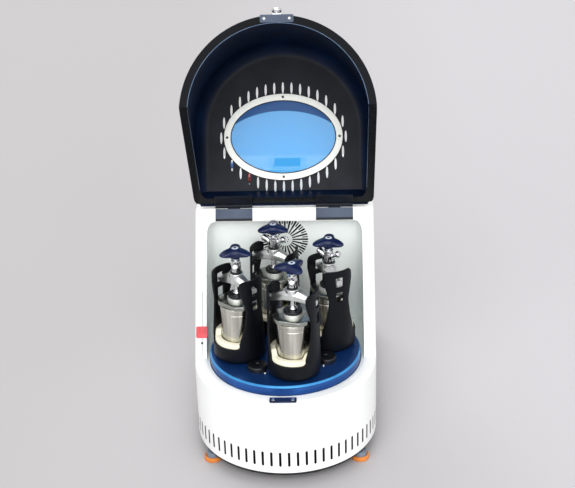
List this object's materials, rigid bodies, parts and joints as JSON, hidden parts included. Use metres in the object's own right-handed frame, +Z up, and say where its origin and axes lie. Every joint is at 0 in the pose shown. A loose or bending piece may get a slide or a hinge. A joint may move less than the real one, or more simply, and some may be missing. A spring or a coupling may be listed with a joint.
{
  "type": "planetary ball mill",
  "caption": "Bench planetary ball mill: jars clamped in counter-rotating holders on a turntable, under a hinged domed lid with an oval window.",
  "frame": {"origin": "on the floor under the middle of the bounding box, with the lid open", "axes": "+Z up, -Y the rounded front, +X the machine's left-to-right as seen from the front"},
  "size_m": [0.47, 0.827, 1.1269],
  "materials": {
    "white_enamel": "smooth white stoving enamel",
    "liner_white": "white enamel",
    "base_dark": "dark paint",
    "cast_drive": "machined and painted",
    "gear_steel": "ground",
    "shaft_steel": "turned",
    "belt_rubber": "matt",
    "fan_black": "moulded",
    "foot_orange": "orange rubber foot with a grey cup",
    "latch_steel": "dark plate with bright screws",
    "sensor_red": "moulded",
    "panel_film": "plain display film",
    "hinge_steel": "slate grey",
    "button_red": "moulded",
    "button_blue": "moulded",
    "turntable_blue": "blue anodised",
    "holder_black": "satin black",
    "seat_cream": "cream polymer",
    "jar_steel": "polished stainless steel",
    "lid_steel": "polished stainless steel",
    "bar_aluminium": "satin aluminium",
    "knob_blue": "dark blue knob on a steel screw",
    "nut_chrome": "polished",
    "lid_black": "glossy black",
    "ring_white": "white frame",
    "pane_blue": "blue tinted clear pane",
    "catch_chrome": "polished"
  },
  "bodies": {
    "housing": {"housing_shell": "white_enamel", "chamber_liner": "liner_white", "base_plate": "base_dark", "bearing_housing": "cast_drive", "sun_gear": "gear_steel", "drive_motor": "cast_drive", "drive_belt": "belt_rubber", "latch_plate": "latch_steel", "interlock_sensor": "sensor_red", "display_panel": "panel_film", "hinge_base_left": "hinge_steel", "hinge_base_right": "hinge_steel", "foot_1": "foot_orange", "foot_2": "foot_orange", "foot_3": "foot_orange", "foot_4": "foot_orange"},
    "lid": {"lid_shell": "lid_black", "window_pane": "pane_blue", "window_ring": "ring_white", "lid_catch": "catch_chrome", "hinge_leaf_left": "hinge_steel", "hinge_leaf_right": "hinge_steel"},
    "table": {"turntable": "turntable_blue", "drive_shaft": "shaft_steel"},
    "motor_rotor": {"motor_pulley": "shaft_steel"},
    "fan": {"fan_rotor": "fan_black"},
    "stop": {"stop_button": "button_red"},
    "power": {"power_button": "button_blue"},
    "holder_1": {"holder_frame_1": "holder_black", "planet_shaft_1": "gear_steel", "jar_seat_1": "seat_cream", "jar_1": "jar_steel", "jar_lid_1": "lid_steel", "clamp_bar_1": "bar_aluminium"},
    "nut_1": {"lock_nut_1": "nut_chrome"},
    "screw_1": {"clamp_screw_1": "knob_blue"},
    "holder_2": {"holder_frame_2": "holder_black", "planet_shaft_2": "gear_steel", "jar_seat_2": "seat_cream", "jar_2": "jar_steel", "jar_lid_2": "lid_steel", "clamp_bar_2": "bar_aluminium"},
    "nut_2": {"lock_nut_2": "nut_chrome"},
    "screw_2": {"clamp_screw_2": "knob_blue"},
    "holder_3": {"holder_frame_3": "holder_black", "planet_shaft_3": "gear_steel", "jar_seat_3": "seat_cream", "jar_3": "jar_steel", "jar_lid_3": "lid_steel", "clamp_bar_3": "bar_aluminium"},
    "nut_3": {"lock_nut_3": "nut_chrome"},
    "screw_3": {"clamp_screw_3": "knob_blue"},
    "holder_4": {"holder_frame_4": "holder_black", "planet_shaft_4": "gear_steel", "jar_seat_4": "seat_cream", "jar_4": "jar_steel", "jar_lid_4": "lid_steel", "clamp_bar_4": "bar_aluminium"},
    "nut_4": {"lock_nut_4": "nut_chrome"},
    "screw_4": {"clamp_screw_4": "knob_blue"}
  },
  "joints": [
    {"name": "lid_hinge", "type": "hinge", "parent": "housing", "child": "lid", "pos_m": [0, 0.0165, 0.575], "axis": [1, 0, 0], "range_deg": [0, 117]},
    {"name": "turntable_spin", "type": "hinge", "parent": "housing", "child": "table", "pos_m": [0, -0.1785, 0.258], "axis": [0, 0, 1], "continuous": true},
    {"name": "motor_spin", "type": "hinge", "parent": "housing", "child": "motor_rotor", "pos_m": [0, 0.1515, 0.09], "axis": [0, 0, 1], "continuous": true},
    {"name": "fan_spin", "type": "hinge", "parent": "housing", "child": "fan", "pos_m": [0, 0.0415, 0.472], "axis": [0, 1, 0], "continuous": true},
    {"name": "stop_press", "type": "slide", "parent": "housing", "child": "stop", "axis": [0, 0, -1], "range_m": [0, 0.005], "stiffness_N_per_m": 900, "springref_m": -0.002},
    {"name": "power_press", "type": "slide", "parent": "housing", "child": "power", "axis": [0, 0, -1], "range_m": [0, 0.003], "stiffness_N_per_m": 800, "springref_m": -0.002},
    {"name": "holder_spin_1", "type": "hinge", "parent": "table", "child": "holder_1", "pos_m": [0.0267, -0.29416, 0.258], "axis": [0, 0, 1], "continuous": true},
    {"name": "nut_lift_1", "type": "slide", "parent": "holder_1", "child": "nut_1", "axis": [0, 0, 1], "range_m": [0, 0.008]},
    {"name": "knob_turn_1", "type": "hinge", "parent": "nut_1", "child": "screw_1", "pos_m": [0.0267, -0.29416, 0.538], "axis": [0, 0, 1], "range_deg": [0, 720]},
    {"name": "holder_spin_2", "type": "hinge", "parent": "table", "child": "holder_2", "pos_m": [0.11566, -0.1518, 0.258], "axis": [0, 0, 1], "continuous": true},
    {"name": "nut_lift_2", "type": "slide", "parent": "holder_2", "child": "nut_2", "axis": [0, 0, 1], "range_m": [0, 0.008]},
    {"name": "knob_turn_2", "type": "hinge", "parent": "nut_2", "child": "screw_2", "pos_m": [0.11566, -0.1518, 0.538], "axis": [0, 0, 1], "range_deg": [0, 720]},
    {"name": "holder_spin_3", "type": "hinge", "parent": "table", "child": "holder_3", "pos_m": [-0.0267, -0.06284, 0.258], "axis": [0, 0, 1], "continuous": true},
    {"name": "nut_lift_3", "type": "slide", "parent": "holder_3", "child": "nut_3", "axis": [0, 0, 1], "range_m": [0, 0.008]},
    {"name": "knob_turn_3", "type": "hinge", "parent": "nut_3", "child": "screw_3", "pos_m": [-0.0267, -0.06284, 0.538], "axis": [0, 0, 1], "range_deg": [0, 720]},
    {"name": "holder_spin_4", "type": "hinge", "parent": "table", "child": "holder_4", "pos_m": [-0.11566, -0.2052, 0.258], "axis": [0, 0, 1], "continuous": true},
    {"name": "nut_lift_4", "type": "slide", "parent": "holder_4", "child": "nut_4", "axis": [0, 0, 1], "range_m": [0, 0.008]},
    {"name": "knob_turn_4", "type": "hinge", "parent": "nut_4", "child": "screw_4", "pos_m": [-0.11566, -0.2052, 0.538], "axis": [0, 0, 1], "range_deg": [0, 720]}
  ],
  "couplings": [
    {"joint": "motor_spin", "follows": "turntable_spin", "ratio": 2},
    {"joint": "holder_spin_1", "follows": "turntable_spin", "ratio": 2},
    {"joint": "knob_turn_1", "follows": "nut_lift_1", "rad_per_m": 1570.8},
    {"joint": "holder_spin_2", "follows": "turntable_spin", "ratio": 2},
    {"joint": "knob_turn_2", "follows": "nut_lift_2", "rad_per_m": 1570.8},
    {"joint": "holder_spin_3", "follows": "turntable_spin", "ratio": 2},
    {"joint": "knob_turn_3", "follows": "nut_lift_3", "rad_per_m": 1570.8},
    {"joint": "holder_spin_4", "follows": "turntable_spin", "ratio": 2},
    {"joint": "knob_turn_4", "follows": "nut_lift_4", "rad_per_m": 1570.8}
  ]
}
